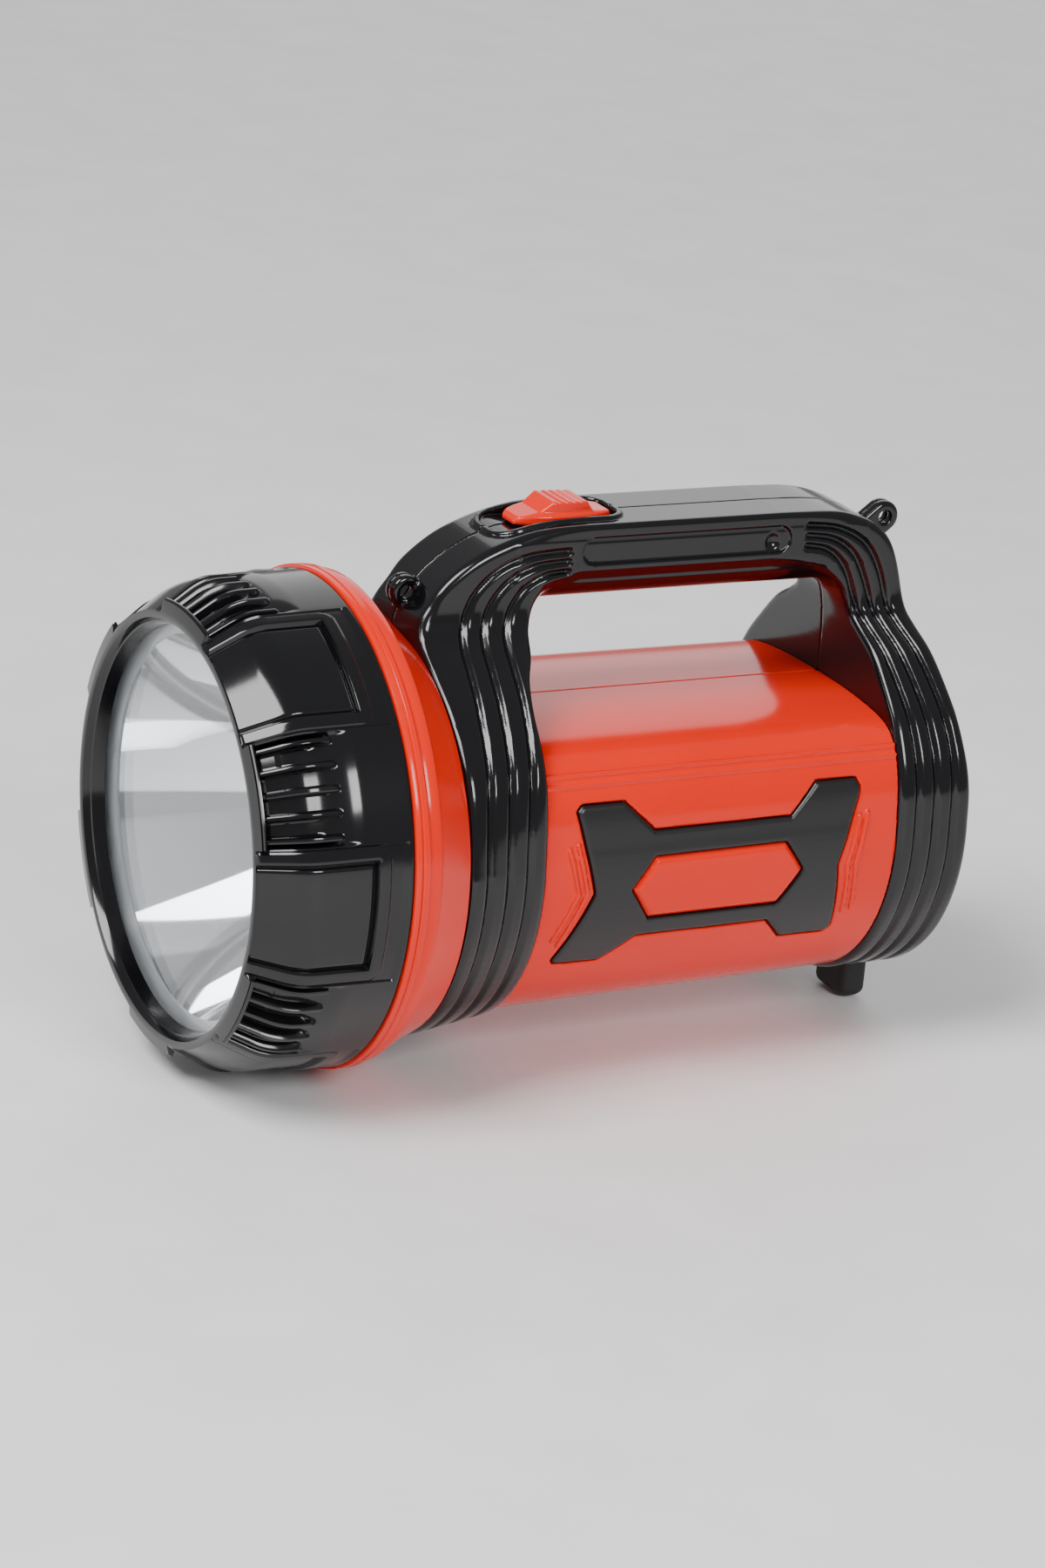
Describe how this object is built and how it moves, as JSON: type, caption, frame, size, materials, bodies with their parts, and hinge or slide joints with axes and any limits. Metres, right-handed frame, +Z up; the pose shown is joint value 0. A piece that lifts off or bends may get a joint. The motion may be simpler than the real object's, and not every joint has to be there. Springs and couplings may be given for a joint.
{
  "type": "rechargeable hand searchlight",
  "caption": "Hand searchlight with a wide round head and screw bezel, a red barrel, and a black carrying handle on two arches with a thumb slide switch.",
  "frame": {"origin": "centre of the bounding box in X and Y, at the surface the torch stands on", "axes": "the beam points along -Y, +Z is up through the handle, and +X is the torch's left side when it is carried"},
  "size_m": [0.124, 0.202, 0.1405],
  "materials": {
    "black_abs": "gloss moulded black ABS",
    "red_abs": "gloss moulded orange-red ABS",
    "panel_black": "satin moulded black ABS",
    "clear_lens": "clear polished polycarbonate",
    "chrome_reflector": "vacuum-metallised plastic",
    "plated_steel": "zinc-plated steel",
    "bare_aluminium": "bare aluminium",
    "gasket_rubber": "matt black rubber",
    "foam": "closed-cell foam",
    "circuit_board": "solder-masked board",
    "led": "phosphor dome",
    "battery_case": "matt ABS case",
    "capacitor_film": "dipped film capacitor",
    "indicator_lens": "translucent green"
  },
  "bodies": {
    "torch_body": {"reflector": "chrome_reflector", "led_emitter": "led", "led_board": "bare_aluminium", "heat_sink": "bare_aluminium", "head_housing": "red_abs", "barrel_shell_left": "red_abs", "barrel_shell_right": "red_abs", "side_panel_left": "panel_black", "side_panel_right": "panel_black", "handle_left": "black_abs", "handle_right": "black_abs", "switch_body": "plated_steel", "battery": "battery_case", "battery_pad_lower": "foam", "battery_pad_upper": "foam", "charger_board": "circuit_board", "charger_capacitor": "capacitor_film", "charger_inductor": "black_abs", "rear_cover": "panel_black", "charge_socket": "panel_black", "socket_pin_left": "plated_steel", "socket_pin_right": "plated_steel", "charge_indicator": "indicator_lens", "rear_foot": "gasket_rubber", "body_screw_front_upper": "plated_steel", "body_screw_front_lower": "plated_steel", "body_screw_rear_upper": "plated_steel", "body_screw_rear_lower": "plated_steel", "handle_screw_front": "plated_steel", "handle_screw_middle": "plated_steel", "handle_screw_rear": "plated_steel", "cover_screw_upper_left": "plated_steel", "cover_screw_lower_left": "plated_steel", "cover_screw_upper_right": "plated_steel", "cover_screw_lower_right": "plated_steel"},
    "lens_carrier": {"lens": "clear_lens", "lens_gasket": "gasket_rubber"},
    "bezel": {"bezel_ring": "black_abs"},
    "switch_slider": {"switch_knob": "red_abs", "switch_lever": "black_abs"}
  },
  "joints": [
    {"name": "bezel_advance", "type": "slide", "parent": "torch_body", "child": "lens_carrier", "axis": [0, -1, 0], "range_m": [0, 0.0121]},
    {"name": "bezel_turn", "type": "hinge", "parent": "lens_carrier", "child": "bezel", "pos_m": [0, -0.063, 0.062], "axis": [0, -1, 0], "range_deg": [0, 1440]},
    {"name": "switch_slide", "type": "slide", "parent": "torch_body", "child": "switch_slider", "axis": [0, -1, 0], "range_m": [0, 0.005]}
  ],
  "couplings": [
    {"joint": "bezel_advance", "follows": "bezel_turn", "m_per_rad": 0.00047746}
  ]
}
